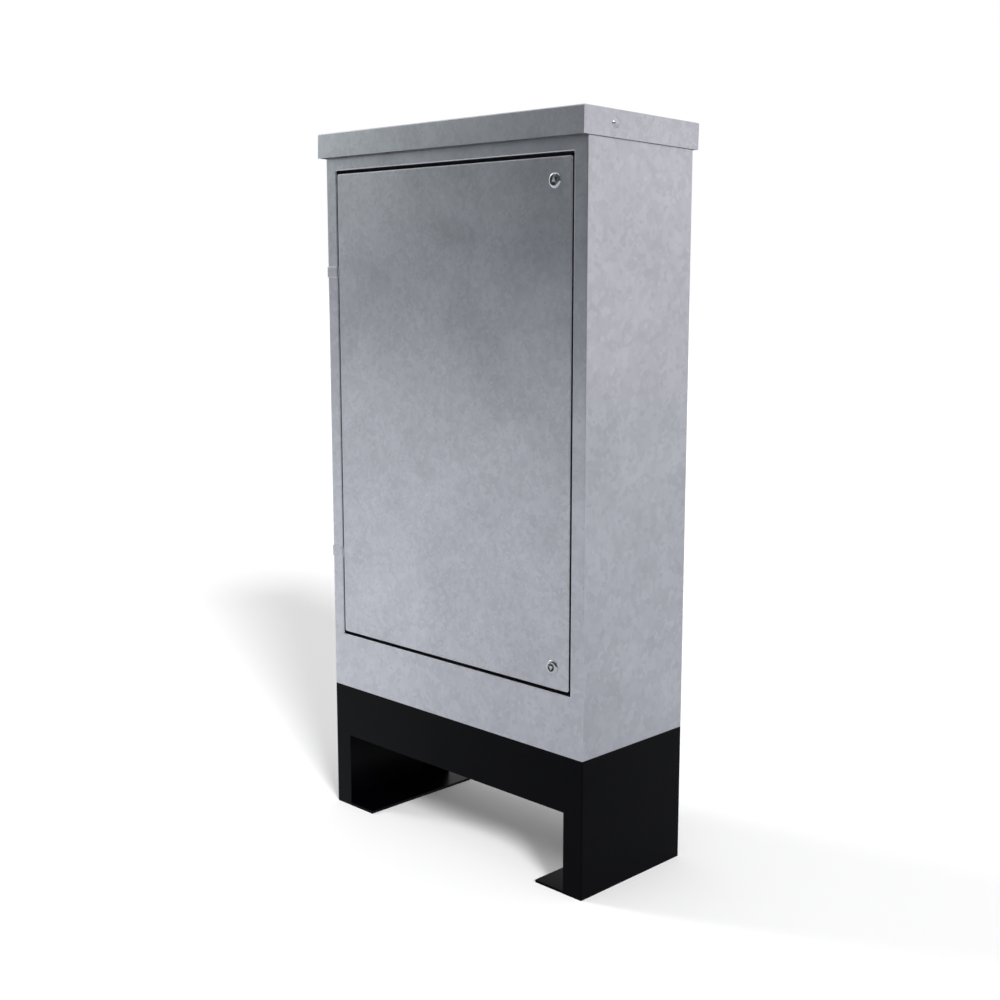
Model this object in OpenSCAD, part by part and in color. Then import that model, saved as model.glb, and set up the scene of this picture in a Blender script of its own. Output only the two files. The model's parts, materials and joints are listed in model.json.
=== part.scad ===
// Feeder pillar: a galvanised sheet steel cabinet with one flush door, a sloping lid and a black root.
// Millimetres. +Z is up, the door faces -Y, and the origin is on the ground under the casing's middle.

/* [Casing] */
// Width of the casing
casing_w = 800; // [700:10:900]
// Depth of the casing
casing_d = 325; // [280:5:420]
// Height of the front and back panels above the root
casing_h = 1250; // [1100:10:1400]
// Thickness of the casing, lid, door and root sheet
sheet = 2; // [1.5:0.5:3]
// Inside radius of the folds in the sheet
fold_in = 0.5; // [0.5:0.5:2]

/* [Lid] */
// Depth of the lid's skirt
skirt_h = 54; // [45:1:70]
// Fall of the lid towards the back, in degrees
lid_fall = 1.5; // [0.5:0.1:2.5]
// How far the front skirt hangs below the top of the front panel
lid_lap = 10; // [5:1:20]
// Air gap between the front panel and the skirt
lid_front_gap = 17; // [8:1:25]
// Air gap between the back panel and the skirt
lid_back_gap = 7.5; // [4:0.5:20]
// Gap between each side panel and the skirt, filled by a spacer at the bolt
lid_side_gap = 3.5; // [1.5:0.5:5]
// Distance of the lid bolts behind the front panel
lid_bolt_back = 72; // [50:1:120]
// Diameter of the lid bolts
lid_bolt_d = 8; // [6:1:10]
// Diameter of the domed heads of the lid bolts
lid_head_d = 20.6; // [16:0.2:24]
// Height of the domed heads of the lid bolts
lid_head_h = 5; // [3:0.5:6]

/* [Root] */
// Height of the root
root_h = 300; // [240:10:400]
// Width of the legs beside the cable cut-outs
leg_w = 51; // [40:1:80]
// Height of the cable cut-outs
cutout_h = 177.5; // [120:0.5:200]
// Width of the foot plates
foot_w = 130; // [100:1:160]
// Thickness of the foot plates
foot_t = 6; // [4:0.5:10]

/* [Door] */
// Width of the frame beside the door opening
strip_w = 35.5; // [30:0.5:50]
// Height of the panel below the door opening
sill_h = 129; // [100:1:200]
// Height of the panel above the door opening
head_h = 39; // [35:1:60]
// Gap beside the door at the hinges
hinge_side_gap = 3.5; // [3.5:0.5:6]
// Gap beside the door at the locks
lock_side_gap = 4.5; // [3:0.5:6]
// Gap above and below the door
end_gap = 7; // [4:0.5:8]
// Depth of the door's folded edge
door_d = 20; // [16:1:24]
// Corner radius of the door
door_corner = 6; // [5:0.5:12]
// Corner radius of the door opening
opening_r = 1.5; // [1:0.5:6]
// Depth of the rebate that the door sits in
rebate_d = 28; // [26:0.5:34]
// Width of the stop flange at the back of the rebate
stop_w = 18; // [16:1:22]
// Width of the door seal
seal_w = 14; // [10:1:15]

/* [Hinges] */
// Distance from the door's top to the middle of the upper hinge strap
upper_hinge_drop = 220; // [120:1:300]
// Distance from the door's bottom to the middle of the lower hinge strap
lower_hinge_rise = 191.5; // [120:0.5:300]
// Height of the hinge straps and leaves
strap_h = 25; // [20:1:40]
// Thickness of the hinge straps and leaves
hinge_t = 2; // [1.5:0.1:2]
// Radius of the straps' outer edges
strap_edge = 1.4; // [0.5:0.1:1.5]
// Diameter of the hinge pins
pin_d = 5; // [4:0.5:8]
// Distance of the hinge axis behind the front of the casing
hinge_back = 11; // [10:0.5:12]
// Width of the hinge leaves on the side of the casing
leaf_w = 40; // [30:1:60]

/* [Locks] */
// Distance of the lock axes from the edges of the door
lock_inset = 45.5; // [42:0.5:60]
// Diameter of the lock bezels at the door
bezel_d = 31; // [28:0.5:34]
// Diameter of the rim, where the bezels stand highest
rim_d = 20; // [19:0.5:23]
// Height of the bezels in front of the door
bezel_h = 3.4; // [2.8:0.2:4.4]
// Diameter of the cup in the bezels
cup_d = 17.5; // [16:0.5:18.5]
// Side of the triangle that the key turns
key_side = 11; // [8:0.5:12]
// Diameter of the threaded lock barrels
barrel_d = 22; // [20:0.5:24]
// Diameter of the turning plugs
plug_d = 14; // [12:0.5:15]
// Thickness of the lock cams
cam_t = 3; // [2:0.5:5]
// Width of the lock cams
cam_w = 20; // [16:1:24]

/* [Inside] */
// Thickness of the plywood backboard
board_t = 12; // [9:1:18]
// Depth of the rails behind the backboard
rail_d = 25; // [15:1:40]
// Height of the rails' face
rail_face_h = 40; // [30:1:60]
// Thickness of the rail sheet
rail_t = 2.5; // [2:0.5:3]
// Diameter of the backboard screws
board_screw_d = 6; // [5:0.5:8]
// Diameter of the earth studs
earth_d = 8; // [6:1:10]
// Length of the earth stud on the casing
casing_earth_l = 34; // [30:1:45]
// Length of the earth stud on the door
door_earth_l = 18; // [14:1:20]

/* [Hidden] */
$fn = 64;
// Overshoot of a cut past the face that it opens
cut = 1;

// Clearances
pin_fit = 0.05;        // hinge pin or lock plug in its bore, on the radius
thread_fit = 0.05;     // screw thread in its nut, on the radius
hole_fit = 0.5;        // bolt in a plain hole, on the radius
hinge_gap = 0.4;       // moving strap to the casing
hinge_play = 0.2;      // moving knuckle above the fixed one
seal_gap = 0.3;        // door edge to the seal
cam_gap = 0.4;         // cam to the back of the stop flange
plug_play = 0.1;       // plug and cam to the ends of the barrel
cup_gap = 0.3;         // plug head to the wall of the cup

// Casing and lid
fold_r = sheet + fold_in;
panel_top = root_h + casing_h;
front_y = -casing_d / 2;
lid_side = sheet + lid_side_gap;
lid_w = casing_w + 2 * lid_side;
lid_front = sheet + lid_front_gap;
lid_d = (casing_d + lid_front + lid_back_gap + sheet) / cos(lid_fall);
lid_hole_d = lid_bolt_d + 2 * hole_fit;

// Door opening and door, with their middle at one height
opening_w = casing_w - 2 * strip_w;
opening_h = casing_h - sill_h - head_h;
opening_z = root_h + sill_h + opening_h / 2;
door_w = opening_w - hinge_side_gap - lock_side_gap;
door_x = (hinge_side_gap - lock_side_gap) / 2;
door_h = opening_h - 2 * end_gap;
door_r = max(door_corner, fold_r + 0.5);
seal_t = rebate_d - sheet - door_d - seal_gap;

// Hinges
strap_in = fold_r + hinge_gap;
strap_out = strap_in + hinge_t;
eye_d = pin_d + 2 * hinge_t;
hinge_x = -(casing_w / 2 + hinge_gap + eye_d / 2);
hinge_y = front_y + hinge_back;
upper_hinge_z = opening_z + door_h / 2 - upper_hinge_drop;
lower_hinge_z = opening_z - door_h / 2 + lower_hinge_rise;
pin_chamfer = pin_d / 6;

// Locks, with depths counted from the front of the door
lock_x = door_x + door_w / 2 - lock_inset;
upper_lock_z = opening_z + door_h / 2 - lock_inset;
lower_lock_z = opening_z - door_h / 2 + lock_inset;
bezel_edge = 0.8;
bezel_fall = bezel_h - bezel_edge;
bezel_r = (pow((bezel_d - rim_d) / 2, 2) + pow(bezel_fall, 2)) / (2 * bezel_fall);
cup_floor = 4;
cam_z = rebate_d + cam_gap;
barrel_end = cam_z - plug_play;
plug_head_t = 1.4;
key_proud = 0.5;
tail_w = plug_d * 0.6;
cam_short = 5;
cam_l = lock_inset + lock_side_gap - cam_short;
lock_nut_af = 1.25 * barrel_d;
lock_nut_t = 5;
cam_screw_d = 6;
cam_screw_l = 14;
cam_screw_af = 10;
cam_screw_head_h = 4;
cam_washer_d = 18;

// Backboard, small enough to pass through the door opening
board_pass = 8;
board_w = opening_w - 2 * stop_w - 2 * board_pass;
board_h = opening_h - 2 * stop_w - 2 * board_pass;
board_y = casing_d / 2 - sheet - rail_d;
rail_end = 20;
rail_l = board_w - 2 * rail_end;
rail_flange = 15;
rail_inset = 120;
rail_zs = [opening_z - board_h / 2 + rail_inset, opening_z + board_h / 2 - rail_inset];
screw_inset = 40;
screw_xs = [for (i = [-1:1]) i * (rail_l / 2 - screw_inset)];
screw_head_d = 2 * board_screw_d;
screw_head_h = board_screw_d / 2;

// Washers and nuts, sized from their thread
washer_t = 1.6;
thread_end = 2;
function nut_af(d) = 1.6 * d + 0.2;
function nut_t(d) = 0.8 * d;
function earth_nut_t(d) = 0.5 * d;
function washer_d(d) = 2 * d;

// Earth studs, set in from the lower left corner of the door
earth_inset = 60;
earth_back = 110;
casing_earth_z = opening_z - door_h / 2 + earth_inset;
casing_earth_y = front_y + earth_back;
door_earth_x = door_x - door_w / 2 + earth_inset;
door_earth_z = opening_z - door_h / 2 + earth_inset;

// Finishes
galvanised = "#9A9DA3";
black_paint = "#141517";
bright_chrome = "#C8CACC";
zinc_plate = "#B4B6BA";
seal_rubber = "#1B1B1C";
plywood = "#B98F5F";

// Places

// On the front of the casing: x to the right, y up from the ground, z into the casing
module on_front() {
    translate([0, front_y, 0]) rotate([90, 0, 0]) mirror([0, 0, 1]) children();
}

// In the tilted lid: y back from the front skirt, z up from the skirt's lower edge
module in_lid() {
    translate([0, front_y - lid_front, panel_top - lid_lap]) rotate([-lid_fall, 0, 0]) children();
}

// At both lid bolts: z outwards from the side panel
module at_lid_bolts() {
    for (side = [-1, 1])
        in_lid() translate([side * casing_w / 2, lid_front + lid_bolt_back, skirt_h / 2])
            rotate([0, 90 * side, 0]) children();
}

// At a lock: z into the casing from the front of the door
module at_lock(z) {
    on_front() translate([lock_x, z, 0]) children();
}

// At every backboard screw: z into the casing from the face of the board
module at_board_screws() {
    for (z = rail_zs, x = screw_xs)
        translate([x, board_y - board_t, z]) rotate([-90, 0, 0]) children();
}

// At the casing's earth stud: z inwards from the left side panel
module at_casing_earth() {
    translate([sheet - casing_w / 2, casing_earth_y, casing_earth_z]) rotate([0, 90, 0]) children();
}

// At the door's earth stud: z inwards from the back of the door sheet
module at_door_earth() {
    on_front() translate([door_earth_x, door_earth_z, sheet]) children();
}

// Shapes

// Rectangle with round corners, about the origin
module rounded_rect(w, h, r) {
    square([w - 2 * r, h], center = true);
    square([w, h - 2 * r], center = true);
    for (x = [-1, 1], y = [-1, 1])
        translate([x * (w / 2 - r), y * (h / 2 - r)]) circle(r);
}

// Quarter of a fold about the origin, from straight down to straight right
module fold(r, t) {
    intersection() {
        difference() {
            circle(r);
            circle(r - t);
        }
        translate([0, -r]) square(r);
    }
}

// A section swept round a rectangle: its x is outwards from the outline and its y becomes z
module around(w, h, r) {
    for (side = [0:3]) {
        across = side % 2 == 0 ? w : h;
        along = side % 2 == 0 ? h : w;
        rotate(90 * side) {
            translate([across / 2, along / 2 - r, 0]) rotate([90, 0, 0])
                linear_extrude(along - 2 * r) children();
            translate([across / 2 - r, along / 2 - r, 0])
                rotate_extrude(angle = 90) translate([r, 0]) children();
        }
    }
}

// Side view of a tray that lies open side down: x from 0, y up, with round top corners
module tray_side(w, h, r) {
    square([w, h - r]);
    translate([r, 0]) square([w - 2 * r, h]);
    for (x = [r, w - r]) translate([x, h - r]) circle(r);
}

// Block with round top edges: x about the middle, y and z from 0
module tray_block(w, d, h, r) {
    intersection() {
        translate([-w / 2, d, 0]) rotate([90, 0, 0]) linear_extrude(d) tray_side(w, h, r);
        translate([-w / 2, 0, 0]) rotate([90, 0, 90]) linear_extrude(w) tray_side(d, h, r);
    }
}

module ring(d, bore, h) {
    difference() {
        cylinder(d = d, h = h);
        translate([0, 0, -cut]) cylinder(d = bore, h = h + 2 * cut);
    }
}

module hex_nut(d, af, h) {
    difference() {
        cylinder(d = af / cos(30), h = h, $fn = 6);
        translate([0, 0, -cut]) cylinder(d = d + 2 * thread_fit, h = h + 2 * cut);
    }
}

module washer(d) {
    ring(washer_d(d), d + 2 * hole_fit, washer_t);
}

// Two washers of an earth stud, each under a nut, with room for a cable lug between them
module earth_washers(d) {
    washer(d);
    translate([0, 0, washer_t + earth_nut_t(d)]) washer(d);
}

module earth_nuts(d) {
    for (i = [0, 1]) translate([0, 0, washer_t + i * (washer_t + earth_nut_t(d))])
        hex_nut(d, nut_af(d), earth_nut_t(d));
}

// Casing

// Plan of the back and sides, open to the front frame
module shell_plan() {
    translate([fold_r - casing_w / 2, casing_d / 2 - sheet]) square([casing_w - 2 * fold_r, sheet]);
    for (side = [0, 1]) mirror([side, 0]) {
        translate([casing_w / 2 - fold_r, casing_d / 2 - fold_r]) mirror([0, 1]) fold(fold_r, sheet);
        translate([casing_w / 2 - sheet, front_y + fold_r]) square([sheet, casing_d - 2 * fold_r]);
    }
}

// The sides rise past the back panel to carry the lid, which leaves an air slot over the back
module casing_shell() {
    color(galvanised) difference() {
        translate([0, 0, root_h]) linear_extrude(casing_h + skirt_h) shell_plan();
        in_lid() translate([-casing_w, -casing_d, skirt_h - sheet])
            cube([2 * casing_w, 3 * casing_d, skirt_h]);
        translate([fold_r - casing_w / 2, 0, panel_top]) cube([casing_w - 2 * fold_r, casing_d, skirt_h]);
        at_lid_bolts() translate([0, 0, -sheet - cut]) cylinder(d = lid_hole_d, h = sheet + 2 * cut);
    }
}

// Plan of the front sheet, folded back at the corners of the casing
module front_plan() {
    translate([fold_r - casing_w / 2, 0]) square([casing_w - 2 * fold_r, sheet]);
    for (side = [0, 1]) mirror([side, 0])
        translate([casing_w / 2 - fold_r, fold_r]) fold(fold_r, sheet);
}

// Section of the fold and the wall round the door opening
module rebate_section() {
    translate([fold_r, fold_r]) mirror([1, 0]) fold(fold_r, sheet);
    translate([0, fold_r]) square([sheet, rebate_d - fold_r]);
}

module front_frame() {
    color(galvanised) on_front() {
        difference() {
            translate([0, panel_top, 0]) rotate([90, 0, 0]) linear_extrude(casing_h) front_plan();
            translate([0, opening_z, -cut]) linear_extrude(sheet + 2 * cut)
                rounded_rect(opening_w + 2 * fold_r, opening_h + 2 * fold_r, opening_r + fold_r);
        }
        translate([0, opening_z, 0]) around(opening_w, opening_h, opening_r) rebate_section();
        translate([0, opening_z, rebate_d - sheet]) linear_extrude(sheet) difference() {
            rounded_rect(opening_w + sheet, opening_h + sheet, opening_r + sheet / 2);
            rounded_rect(opening_w - 2 * stop_w, opening_h - 2 * stop_w, opening_r);
        }
    }
}

module lid() {
    color(galvanised) difference() {
        in_lid() difference() {
            tray_block(lid_w, lid_d, skirt_h, fold_r);
            translate([0, sheet, -cut])
                tray_block(lid_w - 2 * sheet, lid_d - 2 * sheet, skirt_h - sheet + cut, fold_in);
        }
        at_lid_bolts() translate([0, 0, lid_side_gap - cut]) cylinder(d = lid_hole_d, h = sheet + 2 * cut);
    }
}

module lid_bolts() {
    dome_r = (pow(lid_head_d / 2, 2) + pow(lid_head_h, 2)) / (2 * lid_head_h);
    shank_in = sheet + washer_t + nut_t(lid_bolt_d) + thread_end;
    color(bright_chrome) at_lid_bolts() {
        translate([0, 0, lid_side]) intersection() {
            translate([0, 0, lid_head_h - dome_r]) sphere(dome_r);
            cylinder(d = lid_head_d, h = lid_head_h + cut);
        }
        translate([0, 0, -shank_in]) cylinder(d = lid_bolt_d, h = shank_in + lid_side);
    }
}

module lid_spacers() {
    color(zinc_plate) at_lid_bolts() ring(washer_d(lid_bolt_d), lid_hole_d, lid_side_gap);
}

module lid_washers() {
    color(zinc_plate) at_lid_bolts() translate([0, 0, -sheet - washer_t]) washer(lid_bolt_d);
}

module lid_nuts() {
    color(zinc_plate) at_lid_bolts() translate([0, 0, -sheet - washer_t - nut_t(lid_bolt_d)])
        hex_nut(lid_bolt_d, nut_af(lid_bolt_d), nut_t(lid_bolt_d));
}

// Root

module root_shell() {
    cut_w = casing_w - 2 * leg_w;
    color(black_paint) difference() {
        translate([0, 0, foot_t]) linear_extrude(root_h - foot_t) difference() {
            rounded_rect(casing_w, casing_d, fold_r);
            rounded_rect(casing_w - 2 * sheet, casing_d - 2 * sheet, fold_in);
        }
        translate([-cut_w / 2, -casing_d, -cut]) cube([cut_w, 2 * casing_d, cutout_h + cut]);
    }
}

// Plate under one side of the root, flush with it outside and reaching in towards the middle
module foot_plate(side) {
    color(black_paint) linear_extrude(foot_t) intersection() {
        rounded_rect(casing_w, casing_d, fold_r);
        translate([side * (casing_w - foot_w) / 2, 0]) square([foot_w, casing_d], center = true);
    }
}

module left_foot_plate() { foot_plate(-1); }
module right_foot_plate() { foot_plate(1); }

// Door

// Section of the door's folded edge, inwards from its outline
module door_edge_section() {
    translate([-fold_r, fold_r]) fold(fold_r, sheet);
    translate([-sheet, fold_r]) square([sheet, door_d - fold_r]);
}

module door() {
    color(galvanised) on_front() difference() {
        translate([door_x, opening_z, 0]) {
            linear_extrude(sheet)
                rounded_rect(door_w - 2 * fold_r, door_h - 2 * fold_r, door_r - fold_r);
            around(door_w, door_h, door_r) door_edge_section();
        }
        for (z = [upper_lock_z, lower_lock_z])
            translate([lock_x, z, -cut]) cylinder(d = barrel_d + hole_fit, h = sheet + 2 * cut);
    }
}

// Seal on the stop flange, close against the wall of the rebate
module door_seal() {
    color(seal_rubber) on_front() translate([0, opening_z, rebate_d - sheet - seal_t])
        linear_extrude(seal_t) difference() {
            rounded_rect(opening_w, opening_h, opening_r);
            rounded_rect(opening_w - 2 * seal_w, opening_h - 2 * seal_w, seal_w / 2);
        }
}

// Hinges

// Section of a strap: x outwards from the face towards the casing, y up, with round outer edges
module strap_section() {
    intersection() {
        translate([0, -strap_h / 2]) square([hinge_t, strap_h]);
        rounded_rect(2 * hinge_t, strap_h, strap_edge);
    }
}

// Quarter bend of a strap about the origin, its outer face turning from the given direction
module strap_bend(from) {
    rotate(from) rotate_extrude(angle = 90) translate([strap_in, 0]) strap_section();
}

// Strap from the door's edge out through the gap, round the corner of the casing and into its eye
module hinge_strap(z) {
    gap_x = door_x - door_w / 2;
    gap_bend_x = gap_x - strap_out;
    corner_x = fold_r - casing_w / 2;
    bend_y = front_y + fold_r;
    color(galvanised) translate([0, 0, z]) difference() {
        union() {
            translate([gap_x - hinge_t, front_y + door_d, 0]) rotate([90, 0, 0])
                linear_extrude(door_d - fold_r) strap_section();
            translate([gap_bend_x, bend_y, 0]) strap_bend(270);
            translate([gap_bend_x, front_y - hinge_gap, 0]) rotate([90, 0, -90])
                linear_extrude(gap_bend_x - corner_x) strap_section();
            translate([corner_x, bend_y, 0]) strap_bend(180);
            translate([corner_x - strap_in, bend_y, 0]) rotate([90, 0, 180])
                linear_extrude(hinge_y - bend_y) strap_section();
            translate([hinge_x, hinge_y, -strap_h / 2]) cylinder(d = eye_d, h = strap_h);
        }
        translate([hinge_x, hinge_y, -strap_h / 2 - cut])
            cylinder(d = pin_d + 2 * pin_fit, h = strap_h + 2 * cut);
    }
}

// Leaf on the left side of the casing, with the fixed knuckle right under the strap's eye
module hinge_leaf(z) {
    foot = z - strap_h * 3 / 2 - hinge_play;
    color(galvanised) translate([0, 0, foot]) linear_extrude(strap_h) difference() {
        union() {
            translate([-casing_w / 2 - hinge_t, hinge_y]) square([hinge_t, leaf_w]);
            translate([hinge_x, hinge_y]) circle(d = eye_d);
        }
        translate([hinge_x, hinge_y]) circle(d = pin_d + 2 * pin_fit);
    }
}

// Pin from the foot of the fixed knuckle to the top of the strap's eye
module hinge_pin(z) {
    length = 2 * strap_h + hinge_play;
    color(zinc_plate) translate([hinge_x, hinge_y, z + strap_h / 2 - length]) {
        cylinder(d = pin_d, h = length - pin_chamfer);
        translate([0, 0, length - pin_chamfer])
            cylinder(d1 = pin_d, d2 = pin_d - 2 * pin_chamfer, h = pin_chamfer);
    }
}

module upper_hinge_strap() { hinge_strap(upper_hinge_z); }
module lower_hinge_strap() { hinge_strap(lower_hinge_z); }
module upper_hinge_leaf() { hinge_leaf(upper_hinge_z); }
module lower_hinge_leaf() { hinge_leaf(lower_hinge_z); }
module upper_hinge_pin() { hinge_pin(upper_hinge_z); }
module lower_hinge_pin() { hinge_pin(lower_hinge_z); }

// Locks

// Low round bezel with a cup in its middle, and a barrel through the door
module lock_housing(z) {
    color(bright_chrome) at_lock(z) rotate_extrude() difference() {
        union() {
            intersection() {
                translate([rim_d / 2, bezel_r - bezel_h]) circle(bezel_r);
                translate([0, -bezel_h]) square([bezel_d / 2, bezel_h]);
            }
            square([barrel_d / 2, barrel_end]);
        }
        translate([0, -bezel_h - cut]) square([cup_d / 2, bezel_h + cut + cup_floor]);
        square([plug_d / 2 + pin_fit, barrel_end + cut]);
    }
}

module lock_nut(z) {
    color(zinc_plate) at_lock(z) translate([0, 0, sheet]) hex_nut(barrel_d, lock_nut_af, lock_nut_t);
}

// Plug with a key triangle in front, and a square tail for the cam; turn is the way the triangle points
module lock_plug(z, turn) {
    head_back = cup_floor - plug_play;
    head_front = head_back - plug_head_t;
    key_front = -bezel_h - key_proud;
    color(bright_chrome) at_lock(z) difference() {
        union() {
            translate([0, 0, head_front]) cylinder(d = cup_d - 2 * cup_gap, h = plug_head_t);
            translate([0, 0, key_front]) rotate(turn)
                cylinder(r = key_side / sqrt(3), h = head_front - key_front, $fn = 3);
            translate([0, 0, head_back]) cylinder(d = plug_d, h = cam_z - head_back);
            translate([-tail_w / 2, -tail_w / 2, cam_z]) cube([tail_w, tail_w, cam_t]);
        }
        translate([0, 0, cam_z + cam_t - cam_screw_l])
            cylinder(d = cam_screw_d + 2 * thread_fit, h = cam_screw_l + cut);
    }
}

// Cam with a square hole; turn is the way it points when the door is free to open
module lock_cam(z, turn) {
    hole_w = tail_w + 2 * thread_fit;
    color(zinc_plate) at_lock(z) translate([0, 0, cam_z]) linear_extrude(cam_t) rotate(turn) difference() {
        union() {
            circle(d = cam_w);
            translate([0, -cam_w / 2]) square([cam_l - cam_w / 2, cam_w]);
            translate([cam_l - cam_w / 2, 0]) circle(d = cam_w);
        }
        square(hole_w, center = true);
    }
}

module cam_screw(z) {
    color(zinc_plate) at_lock(z) translate([0, 0, cam_z + cam_t]) {
        translate([0, 0, cut - cam_screw_l]) cylinder(d = cam_screw_d, h = cam_screw_l - cut);
        cylinder(d = cam_washer_d, h = washer_t);
        translate([0, 0, washer_t]) cylinder(d = cam_screw_af / cos(30), h = cam_screw_head_h, $fn = 6);
    }
}

module upper_lock_housing() { lock_housing(upper_lock_z); }
module lower_lock_housing() { lock_housing(lower_lock_z); }
module upper_lock_nut() { lock_nut(upper_lock_z); }
module lower_lock_nut() { lock_nut(lower_lock_z); }
module upper_lock_plug() { lock_plug(upper_lock_z, 90); }
module lower_lock_plug() { lock_plug(lower_lock_z, -90); }
module upper_lock_cam() { lock_cam(upper_lock_z, -90); }
module lower_lock_cam() { lock_cam(lower_lock_z, 90); }
module upper_cam_screw() { cam_screw(upper_lock_z); }
module lower_cam_screw() { cam_screw(lower_lock_z); }

// Inside

module backboard() {
    color(plywood) difference() {
        translate([-board_w / 2, board_y - board_t, opening_z - board_h / 2])
            cube([board_w, board_t, board_h]);
        at_board_screws() {
            translate([0, 0, -cut]) cylinder(d = board_screw_d + 2 * thread_fit, h = board_t + 2 * cut);
            cylinder(d1 = screw_head_d, d2 = board_screw_d, h = screw_head_h);
        }
    }
}

// Top hat rail, welded to the back panel by its flanges
module board_rail(z) {
    color(galvanised) difference() {
        translate([0, 0, z]) rotate([90, 0, 90]) translate([0, 0, -rail_l / 2]) linear_extrude(rail_l) {
            translate([board_y, -rail_face_h / 2]) square([rail_t, rail_face_h]);
            for (side = [0, 1]) mirror([0, side]) {
                translate([board_y, rail_face_h / 2 - rail_t]) square([rail_d, rail_t]);
                translate([board_y + rail_d - rail_t, rail_face_h / 2 - rail_t])
                    square([rail_t, rail_flange]);
            }
        }
        at_board_screws() cylinder(d = board_screw_d + 2 * thread_fit, h = board_t + rail_t + cut);
    }
}

module board_screws() {
    color(zinc_plate) at_board_screws() {
        cylinder(d1 = screw_head_d, d2 = board_screw_d, h = screw_head_h);
        cylinder(d = board_screw_d, h = board_t + rail_t + board_screw_d);
    }
}

module lower_board_rail() { board_rail(rail_zs[0]); }
module upper_board_rail() { board_rail(rail_zs[1]); }

module casing_earth_stud() {
    color(zinc_plate) at_casing_earth() cylinder(d = earth_d, h = casing_earth_l);
}

module casing_earth_washers() {
    color(zinc_plate) at_casing_earth() earth_washers(earth_d);
}

module casing_earth_nuts() {
    color(zinc_plate) at_casing_earth() earth_nuts(earth_d);
}

module door_earth_stud() {
    color(zinc_plate) at_door_earth() cylinder(d = earth_d, h = door_earth_l);
}

module door_earth_washers() {
    color(zinc_plate) at_door_earth() earth_washers(earth_d);
}

module door_earth_nuts() {
    color(zinc_plate) at_door_earth() earth_nuts(earth_d);
}

casing_shell();
front_frame();
lid();
lid_bolts();
lid_spacers();
lid_washers();
lid_nuts();
root_shell();
left_foot_plate();
right_foot_plate();
upper_hinge_leaf();
lower_hinge_leaf();
upper_hinge_pin();
lower_hinge_pin();
door_seal();
backboard();
upper_board_rail();
lower_board_rail();
board_screws();
casing_earth_stud();
casing_earth_washers();
casing_earth_nuts();
door();
upper_hinge_strap();
lower_hinge_strap();
door_earth_stud();
door_earth_washers();
door_earth_nuts();
upper_lock_housing();
lower_lock_housing();
upper_lock_nut();
lower_lock_nut();
upper_lock_plug();
lower_lock_plug();
upper_lock_cam();
lower_lock_cam();
upper_cam_screw();
lower_cam_screw();
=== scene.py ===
import json
import math

import bpy
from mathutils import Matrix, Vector


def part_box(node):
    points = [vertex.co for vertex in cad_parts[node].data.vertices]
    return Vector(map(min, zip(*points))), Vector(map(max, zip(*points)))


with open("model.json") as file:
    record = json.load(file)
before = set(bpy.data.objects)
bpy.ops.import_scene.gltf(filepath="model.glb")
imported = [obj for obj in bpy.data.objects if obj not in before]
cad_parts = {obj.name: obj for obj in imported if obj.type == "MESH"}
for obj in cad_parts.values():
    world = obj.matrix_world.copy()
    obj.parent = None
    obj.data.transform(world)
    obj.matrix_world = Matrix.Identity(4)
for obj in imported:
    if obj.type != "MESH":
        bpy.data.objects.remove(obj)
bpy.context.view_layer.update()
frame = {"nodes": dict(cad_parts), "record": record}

scene = bpy.context.scene
scene.view_settings.view_transform = "Standard"
MM = 0.001

# Sockets of a Mix node, which has one set for plain values and another for colours
SHARE, VALUE_A, VALUE_B, COLOUR_A, COLOUR_B = 0, 2, 3, 6, 7
VALUE_MIX, COLOUR_MIX = 0, 2


# Tools for the finishes

def linear(tone):
    """An sRGB hex colour as the linear colour that a shader takes."""
    parts = [int(tone[i:i + 2], 16) / 255 for i in (1, 3, 5)]
    return tuple(c / 12.92 if c <= 0.04045 else ((c + 0.055) / 1.055) ** 2.4 for c in parts) + (1,)


def per_metre(size_mm):
    """The scale of a pattern whose repeat is that many millimetres."""
    return 1 / (size_mm * MM)


def feed(tree, node, sockets):
    """Gives each socket its value, or links it to the output that feeds it."""
    for name, value in sockets.items():
        if isinstance(value, bpy.types.NodeSocket):
            tree.links.new(value, node.inputs[name])
        else:
            node.inputs[name].default_value = value


def add(tree, kind, sockets=None, **settings):
    """Adds a node with its settings, and feeds its sockets."""
    node = tree.nodes.new(kind)
    for name, value in settings.items():
        setattr(node, name, value)
    feed(tree, node, sockets or {})
    return node


def new_material(name):
    """A new material, its tree and its shader."""
    material = bpy.data.materials.new(name)
    material.use_nodes = True
    return material, material.node_tree, material.node_tree.nodes["Principled BSDF"]


def new_finish(name):
    """A new material for the part: its tree, its shader and the part's own coordinates in metres."""
    material, tree, shader = new_material(name)
    return material, tree, shader, add(tree, "ShaderNodeTexCoord").outputs["Object"]


# Finishes

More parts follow.
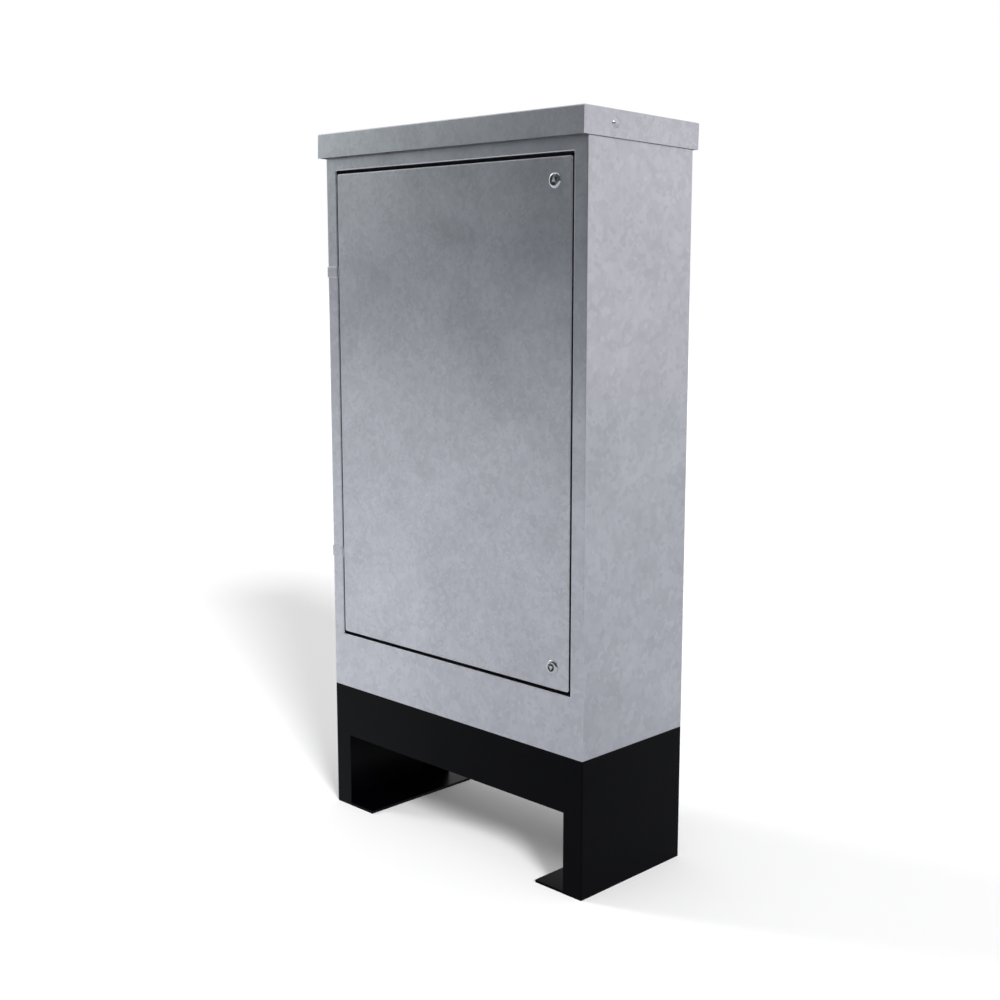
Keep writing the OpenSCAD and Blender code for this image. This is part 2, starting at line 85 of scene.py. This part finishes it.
def galvanised_sheet(name, crystal_mm, cloud_share, dark, light, shift):
    """Mild steel sheet, hot-dip galvanised in the coil and then folded. The zinc freezes in lumpy crystals,
    each a little lighter or darker than the next, with crumbs between them and wider clouds of the same
    cool grey. shift moves the pattern, in metres."""
    crumb_mm, ragged_mm, ragged_reach_mm = 0.45 * crystal_mm, 0.8 * crystal_mm, 0.35 * crystal_mm
    crumb_share, crystal_blur = 0.35, 0.2
    cloud_mm, cloud_low, cloud_high = 170, 0.3, 0.7
    skin_mm, skin_height_mm, skin_strength = 5, 0.05, 0.25
    smooth, rough = 0.28, 0.34
    material, tree, shader, place = new_finish(name)
    moved = add(tree, "ShaderNodeMapping", {"Vector": place, "Location": shift}).outputs["Vector"]
    ragged = add(tree, "ShaderNodeTexNoise", {"Vector": moved, "Scale": per_metre(ragged_mm), "Detail": 1})
    reach = (ragged_reach_mm * MM,) * 3
    torn = add(tree, "ShaderNodeVectorMath", {0: ragged.outputs["Color"], 1: reach, 2: moved},
               operation="MULTIPLY_ADD").outputs["Vector"]
    crystal = add(tree, "ShaderNodeTexVoronoi",
                  {"Vector": torn, "Scale": per_metre(crystal_mm), "Smoothness": crystal_blur},
                  feature="SMOOTH_F1")
    crumb = add(tree, "ShaderNodeTexVoronoi", {"Vector": torn, "Scale": per_metre(crumb_mm)})
    large = add(tree, "ShaderNodeSeparateColor", {"Color": crystal.outputs["Color"]}).outputs
    small = add(tree, "ShaderNodeSeparateColor", {"Color": crumb.outputs["Color"]}).outputs
    broken = add(tree, "ShaderNodeMath", {0: small["Green"], 1: crumb_share}, operation="LESS_THAN")
    grains = add(tree, "ShaderNodeMix",
                 {SHARE: broken.outputs["Value"], VALUE_A: large["Red"], VALUE_B: small["Red"]})
    cloud = add(tree, "ShaderNodeTexNoise",
                {"Vector": moved, "Scale": per_metre(cloud_mm), "Detail": 5, "Roughness": 0.6,
                 "Distortion": 0.4})
    bloom = add(tree, "ShaderNodeMapRange",
                {"Value": cloud.outputs["Fac"], "From Min": cloud_low, "From Max": cloud_high})
    tone = add(tree, "ShaderNodeMix",
               {SHARE: cloud_share, VALUE_A: grains.outputs[VALUE_MIX], VALUE_B: bloom.outputs["Result"]})
    grey = add(tree, "ShaderNodeMix",
               {SHARE: tone.outputs[VALUE_MIX], COLOUR_A: linear(dark), COLOUR_B: linear(light)},
               data_type="RGBA")
    sheen = add(tree, "ShaderNodeMapRange",
                {"Value": cloud.outputs["Fac"], "To Min": smooth, "To Max": rough})
    skin = add(tree, "ShaderNodeTexNoise", {"Vector": moved, "Scale": per_metre(skin_mm), "Detail": 2})
    relief = add(tree, "ShaderNodeBump", {"Strength": skin_strength, "Distance": skin_height_mm * MM,
                                          "Height": skin.outputs["Fac"]})
    feed(tree, shader, {"Base Color": grey.outputs[COLOUR_MIX], "Metallic": 1.0,
                        "Roughness": sheen.outputs["Result"], "Normal": relief.outputs["Normal"]})
    return material


def black_paint():
    """Black bitumen paint, sprayed on the galvanised root: dull, a fine orange peel, slightly uneven."""
    patch_mm, smooth, rough = 90, 0.28, 0.36
    peel_mm, peel_height_mm, peel_strength = 3, 0.04, 0.4
    material, tree, shader, place = new_finish("black_bitumen_paint_sprayed")
    patch = add(tree, "ShaderNodeTexNoise", {"Vector": place, "Scale": per_metre(patch_mm), "Detail": 4})
    uneven = patch.outputs["Fac"]
    black = add(tree, "ShaderNodeMix",
                {SHARE: uneven, COLOUR_A: linear("#010104"), COLOUR_B: linear("#030306")}, data_type="RGBA")
    dull = add(tree, "ShaderNodeMapRange", {"Value": uneven, "To Min": smooth, "To Max": rough})
    peel = add(tree, "ShaderNodeTexNoise", {"Vector": place, "Scale": per_metre(peel_mm), "Detail": 1})
    relief = add(tree, "ShaderNodeBump", {"Strength": peel_strength, "Distance": peel_height_mm * MM,
                                          "Height": peel.outputs["Fac"]})
    feed(tree, shader, {"Base Color": black.outputs[COLOUR_MIX], "Roughness": dull.outputs["Result"],
                        "IOR": 1.5, "Specular IOR Level": 0.045, "Normal": relief.outputs["Normal"]})
    return material


def bright_chrome():
    """Zinc die casting, polished and chrome plated: a near mirror with the faint haze of handling."""
    haze_mm, smooth, rough = 6, 0.07, 0.15
    material, tree, shader, place = new_finish("chrome_plate_polished")
    haze = add(tree, "ShaderNodeTexNoise", {"Vector": place, "Scale": per_metre(haze_mm), "Detail": 3})
    handled = haze.outputs["Fac"]
    tint = add(tree, "ShaderNodeMix",
               {SHARE: handled, COLOUR_A: linear("#B9BBC0"), COLOUR_B: linear("#C6C8CC")}, data_type="RGBA")
    polish = add(tree, "ShaderNodeMapRange", {"Value": handled, "To Min": smooth, "To Max": rough})
    feed(tree, shader, {"Base Color": tint.outputs[COLOUR_MIX], "Metallic": 1.0,
                        "Roughness": polish.outputs["Result"]})
    return material


def lock_plug():
    """Zinc die casting, tumbled and nickel plated: a soft satin on the key's triangle. The plate behind it
    turns greyer down in the cup, by its depth behind the door's front."""
    haze_mm, smooth, rough = 2, 0.38, 0.5
    nickel_until_mm, grey_from_mm = -2, 1
    door_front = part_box("door")[0][1]
    material, tree, shader, place = new_finish("nickel_plate_satin_greyer_in_cup")
    haze = add(tree, "ShaderNodeTexNoise", {"Vector": place, "Scale": per_metre(haze_mm), "Detail": 3})
    handled = haze.outputs["Fac"]
    nickel = add(tree, "ShaderNodeMix",
                 {SHARE: handled, COLOUR_A: linear("#BEBFC2"), COLOUR_B: linear("#CDCED0")},
                 data_type="RGBA")
    depth = add(tree, "ShaderNodeSeparateXYZ", {"Vector": place}).outputs["Y"]
    # The colour turns greyer with depth behind the door's front, down in the cup
    greyer_in_cup = add(tree, "ShaderNodeMapRange", {"Value": depth, "From Min": door_front + nickel_until_mm * MM,
                                              "From Max": door_front + grey_from_mm * MM})
    tint = add(tree, "ShaderNodeMix", {SHARE: greyer_in_cup.outputs["Result"], COLOUR_A: nickel.outputs[COLOUR_MIX],
                                       COLOUR_B: linear("#9A9B9E")}, data_type="RGBA")
    satin = add(tree, "ShaderNodeMapRange", {"Value": handled, "To Min": smooth, "To Max": rough})
    feed(tree, shader, {"Base Color": tint.outputs[COLOUR_MIX], "Metallic": 1.0,
                        "Roughness": satin.outputs["Result"]})
    return material


def zinc_plate():
    """Steel, bright zinc plated and clear passivated: a cool silver with a faint warm and blue bloom."""
    bloom_mm, drawn_mm, smooth, rough = 9, 0.8, 0.22, 0.34
    material, tree, shader, place = new_finish("bright_zinc_plate_passivated")
    bloom = add(tree, "ShaderNodeTexNoise", {"Vector": place, "Scale": per_metre(bloom_mm), "Detail": 3})
    tint = add(tree, "ShaderNodeMix", {SHARE: bloom.outputs["Fac"], COLOUR_A: linear("#B9BEC6"),
                                       COLOUR_B: linear("#C8C6BE")}, data_type="RGBA")
    drawn = add(tree, "ShaderNodeTexNoise", {"Vector": place, "Scale": per_metre(drawn_mm), "Detail": 2})
    polish = add(tree, "ShaderNodeMapRange",
                 {"Value": drawn.outputs["Fac"], "To Min": smooth, "To Max": rough})
    feed(tree, shader, {"Base Color": tint.outputs[COLOUR_MIX], "Metallic": 1.0,
                        "Roughness": polish.outputs["Result"]})
    return material


def seal_foam():
    """EPDM foam strip with a closed skin: dead black, matt, with fine pits that are painted darker as shade.
    """
    pit_mm, pit_depth_mm, pit_strength = 1.2, 0.2, 0.6
    material, tree, shader, place = new_finish("epdm_foam_skinned")
    pits = add(tree, "ShaderNodeTexVoronoi", {"Vector": place, "Scale": per_metre(pit_mm)})
    pit_depth_and_shade = pits.outputs["Distance"]
    # Painted shade: the colour darkens towards the bottom of each pit, by the same mask that sinks it
    black = add(tree, "ShaderNodeMix",
                {SHARE: pit_depth_and_shade, COLOUR_A: linear("#121213"), COLOUR_B: linear("#212122")}, data_type="RGBA")
    relief = add(tree, "ShaderNodeBump",
                 {"Strength": pit_strength, "Distance": pit_depth_mm * MM, "Height": pit_depth_and_shade})
    feed(tree, shader, {"Base Color": black.outputs[COLOUR_MIX], "Roughness": 0.85, "IOR": 1.5,
                        "Specular IOR Level": 0.3, "Normal": relief.outputs["Normal"]})
    return material


def birch_board():
    """Birch plywood, rotary cut and sanded: broad pale flame grain on its faces, fine stripes of the
    crossed veneers along its edges."""
    flame_mm, flame_stretch = 60, (1, 1, 0.12)
    fibre_mm, fibre_stretch, fibre_share = 1.5, (1, 1, 0.03), 0.35
    fibre_height_mm, fibre_strength = 0.1, 0.3
    veneer_mm, veneer_edge, veneer_share = 1.5, 0.2, 0.4
    material, tree, shader, place = new_finish("birch_plywood_sanded")
    along = add(tree, "ShaderNodeMapping", {"Vector": place, "Scale": flame_stretch}).outputs["Vector"]
    flame = add(tree, "ShaderNodeTexNoise",
                {"Vector": along, "Scale": per_metre(flame_mm), "Detail": 5, "Distortion": 1.2})
    drawn = add(tree, "ShaderNodeMapping", {"Vector": place, "Scale": fibre_stretch}).outputs["Vector"]
    fibre = add(tree, "ShaderNodeTexNoise", {"Vector": drawn, "Scale": per_metre(fibre_mm), "Detail": 2})
    grain = add(tree, "ShaderNodeMix",
                {SHARE: fibre_share, VALUE_A: flame.outputs["Fac"], VALUE_B: fibre.outputs["Fac"]})
    wood = add(tree, "ShaderNodeMix", {SHARE: grain.outputs[VALUE_MIX], COLOUR_A: linear("#A87C4C"),
                                       COLOUR_B: linear("#DDBE92")}, data_type="RGBA")
    depth = add(tree, "ShaderNodeSeparateXYZ", {"Vector": place}).outputs["Y"]
    layer = add(tree, "ShaderNodeMath", {0: depth, 1: math.pi * per_metre(veneer_mm)}, operation="MULTIPLY")
    stripe = add(tree, "ShaderNodeMath", {0: layer.outputs["Value"]}, operation="SINE")
    crossed = add(tree, "ShaderNodeMapRange",
                  {"Value": stripe.outputs["Value"], "From Min": -veneer_edge, "From Max": veneer_edge,
                   "To Min": 0.0, "To Max": veneer_share})
    veneers = add(tree, "ShaderNodeMix",
                  {SHARE: crossed.outputs["Result"], COLOUR_A: wood.outputs[COLOUR_MIX],
                   COLOUR_B: linear("#8A6238")}, data_type="RGBA")
    relief = add(tree, "ShaderNodeBump", {"Strength": fibre_strength, "Distance": fibre_height_mm * MM,
                                          "Height": fibre.outputs["Fac"]})
    feed(tree, shader, {"Base Color": veneers.outputs[COLOUR_MIX], "Roughness": 0.62, "IOR": 1.5,
                        "Normal": relief.outputs["Normal"]})
    return material


# Each sheet has crystals of its own size, from its own part of the coil, so they don't run on into the next
CASING_ZINC = dict(cloud_share=0.48, dark="#B0B0B7", light="#C7C7CE")
DOOR_ZINC = dict(cloud_share=0.52, dark="#AEAEB5", light="#C9C9D0")
SHEETS = {
    "casing_shell": dict(CASING_ZINC, crystal_mm=23, shift=(0, 0, 0)),
    "front_frame": dict(CASING_ZINC, crystal_mm=20, shift=(0.37, 0.11, 0.23)),
    "lid": dict(CASING_ZINC, crystal_mm=13, shift=(0.71, 0.53, 0.19)),
    "door": dict(DOOR_ZINC, crystal_mm=14, shift=(0.13, 0.67, 0.41)),
}
SMALL_PARTS = dict(CASING_ZINC, crystal_mm=13, shift=(0.29, 0.83, 0.59))


def finish_nodes():
    """Gives each CAD node a finish of its own, or else the one of its material slot."""
    own = {node: galvanised_sheet("hot_dip_galvanised_" + node, **look) for node, look in SHEETS.items()}
    own["upper_lock_plug"] = own["lower_lock_plug"] = lock_plug()
    by_slot = {
        "galvanised_steel": galvanised_sheet("hot_dip_galvanised_small_parts", **SMALL_PARTS),
        "black_paint": black_paint(),
        "bright_chrome": bright_chrome(),
        "zinc_plated_steel": zinc_plate(),
        "seal_rubber": seal_foam(),
        "plywood": birch_board(),
    }
    for part in frame["record"]["subparts"]:
        mesh = frame["nodes"][part["node"]].data
        mesh.materials.clear()
        mesh.materials.append(own.get(part["node"], by_slot[part["material_slot"]]))


# Studio, in metres and degrees

def place_camera():
    """Stands off the right front corner, below the height of the lid, and looks down by 9 degrees."""
    eye, turn, look_down = (2.1916, -2.1903, 1.271), 45, 9.087
    view = bpy.data.cameras.new("studio_camera")
    view.lens = 50
    view.sensor_width = 36
    camera = bpy.data.objects.new("studio_camera", view)
    camera.location = eye
    camera.rotation_euler = (math.radians(90 - look_down), 0, math.radians(turn))
    scene.collection.objects.link(camera)
    scene.camera = camera


def seen_directly(tree):
    """1 for what the camera sees directly, in a metal or through glass, and 0 for light on its way."""
    path = add(tree, "ShaderNodeLightPath").outputs
    eye_or_metal = add(tree, "ShaderNodeMath", {0: path["Is Camera Ray"], 1: path["Is Glossy Ray"]},
                       operation="MAXIMUM").outputs["Value"]
    return add(tree, "ShaderNodeMath", {0: eye_or_metal, 1: path["Is Transmission Ray"]},
               operation="MAXIMUM").outputs["Value"]


def white_room():
    """An even white room: plain white to the eye and in metal, a soft light on everything else."""
    soft_light, plain_white = 0.554, 1.0
    world = bpy.data.worlds.new("white_room")
    world.use_nodes = True
    tree = world.node_tree
    tree.nodes.clear()
    light = add(tree, "ShaderNodeBackground", {"Color": linear("#FFFFFF"), "Strength": soft_light})
    wall = add(tree, "ShaderNodeBackground", {"Color": linear("#FFFFFF"), "Strength": plain_white})
    both = add(tree, "ShaderNodeMixShader",
               {0: seen_directly(tree), 1: light.outputs[0], 2: wall.outputs[0]})
    add(tree, "ShaderNodeOutputWorld", {"Surface": both.outputs[0]})
    scene.world = world


def flat_panel(name, width, height, material):
    """A flat stage panel that faces up, centred on its own origin."""
    mesh = bpy.data.meshes.new(name)
    w, h = width / 2, height / 2
    mesh.from_pydata([(-w, -h, 0), (w, -h, 0), (w, h, 0), (-w, h, 0)], [], [(0, 1, 2, 3)])
    mesh.materials.append(material)
    panel = bpy.data.objects.new(name, mesh)
    scene.collection.objects.link(panel)
    return panel


def studio_floor():
    """Matt white floor that keeps the shadows. The eye sees it lifted to white, metal sees it greyer."""
    width, lift = 200, 0.05
    material, tree, shader = new_material("studio_floor_matt_white")
    path = add(tree, "ShaderNodeLightPath").outputs
    tone = add(tree, "ShaderNodeMix", {SHARE: path["Is Glossy Ray"], COLOUR_A: linear("#F9F9F9"),
                                       COLOUR_B: linear("#D2D5D8")}, data_type="RGBA")
    glow = add(tree, "ShaderNodeMath", {0: path["Is Camera Ray"], 1: lift}, operation="MULTIPLY")
    feed(tree, shader, {"Base Color": tone.outputs[COLOUR_MIX], "Roughness": 1.0, "Specular IOR Level": 0.0,
                        "Emission Color": linear("#FFFFFF"), "Emission Strength": glow.outputs["Value"]})
    flat_panel("studio_floor", width, width, material)


def metal_card(name, tone, strength, size, location, turn):
    """A flat card that is seen only in metal, and gives and takes no light elsewhere."""
    material, tree, shader = new_material(name)
    tree.nodes.remove(shader)
    glow = add(tree, "ShaderNodeEmission", {"Color": linear(tone), "Strength": strength})
    feed(tree, tree.nodes["Material Output"], {"Surface": glow.outputs[0]})
    card = flat_panel(name, *size, material)
    card.location = location
    card.rotation_euler = [math.radians(angle) for angle in turn]
    for ray in ("camera", "diffuse", "shadow", "transmission", "volume_scatter"):
        setattr(card, "visible_" + ray, False)


def soft_sun(name, towards_left, elevation, width, strength):
    """A wide round lamp, far off, that metal doesn't see. towards_left turns it from the pillar's right
    side to its front and on."""
    lamp = bpy.data.lights.new(name, "SUN")
    lamp.energy = strength
    lamp.angle = math.radians(width)
    sun = bpy.data.objects.new(name, lamp)
    turn, rise = math.radians(-towards_left), math.radians(elevation)
    source = Vector((math.cos(turn) * math.cos(rise), math.sin(turn) * math.cos(rise), math.sin(rise)))
    sun.rotation_euler = source.to_track_quat("Z", "Y").to_euler()
    sun.visible_glossy = False
    scene.collection.objects.link(sun)


# The dark cards give the door its shade towards the top. The box cards are the lamps, as metal sees them
UPRIGHT, UPRIGHT_SIDEWAYS = (90, 0, 0), (90, 0, 90)
DARK_CLOTH = dict(tone="#545A5D", strength=1.0)
METAL_CARDS = {
    "dark_front_card": dict(DARK_CLOTH, size=(19.7, 3.4), location=(1.66, -6, 2.3), turn=UPRIGHT),
    "dark_top_card": dict(DARK_CLOTH, size=(11.4, 5), location=(2.26, -6, 6.5), turn=UPRIGHT),
    "dark_right_card": dict(DARK_CLOTH, size=(7, 3.4), location=(11.5, -2.5, 2.3), turn=UPRIGHT_SIDEWAYS),
    "bright_left_card": dict(tone="#F3FFFB", strength=1.62, size=(6, 4.6), location=(-11.19, -6, 4.4),
                             turn=UPRIGHT),
    "bright_floor_card": dict(tone="#F9FDFF", strength=1.03, size=(16, 8), location=(-8.5, -2.85, 0.002),
                              turn=(0, 0, 45)),
    "pale_right_card": dict(tone="#F7F7F9", strength=1.03, size=(24, 10), location=(12, 6, 5),
                            turn=UPRIGHT_SIDEWAYS),
    "key_box_card": dict(tone="#FFFFFF", strength=6.0, size=(2.4, 2.4), location=(7.7, -3.9, 5.8),
                         turn=(60, 0, 63.5)),
    "fill_box_card": dict(tone="#FFFFFF", strength=4.0, size=(2.4, 2.4), location=(-8.4, -3.2, 5.2),
                          turn=(63.6, 0, -69)),
}
LAMPS = {
    "key_lamp": dict(towards_left=26.5, elevation=30.2, width=13.1, strength=2.75),
    "fill_lamp": dict(towards_left=159, elevation=26.4, width=13.8, strength=1.12),
}

place_camera()
finish_nodes()
white_room()
studio_floor()
for name, look in METAL_CARDS.items():
    metal_card(name, **look)
for name, look in LAMPS.items():
    soft_sun(name, **look)
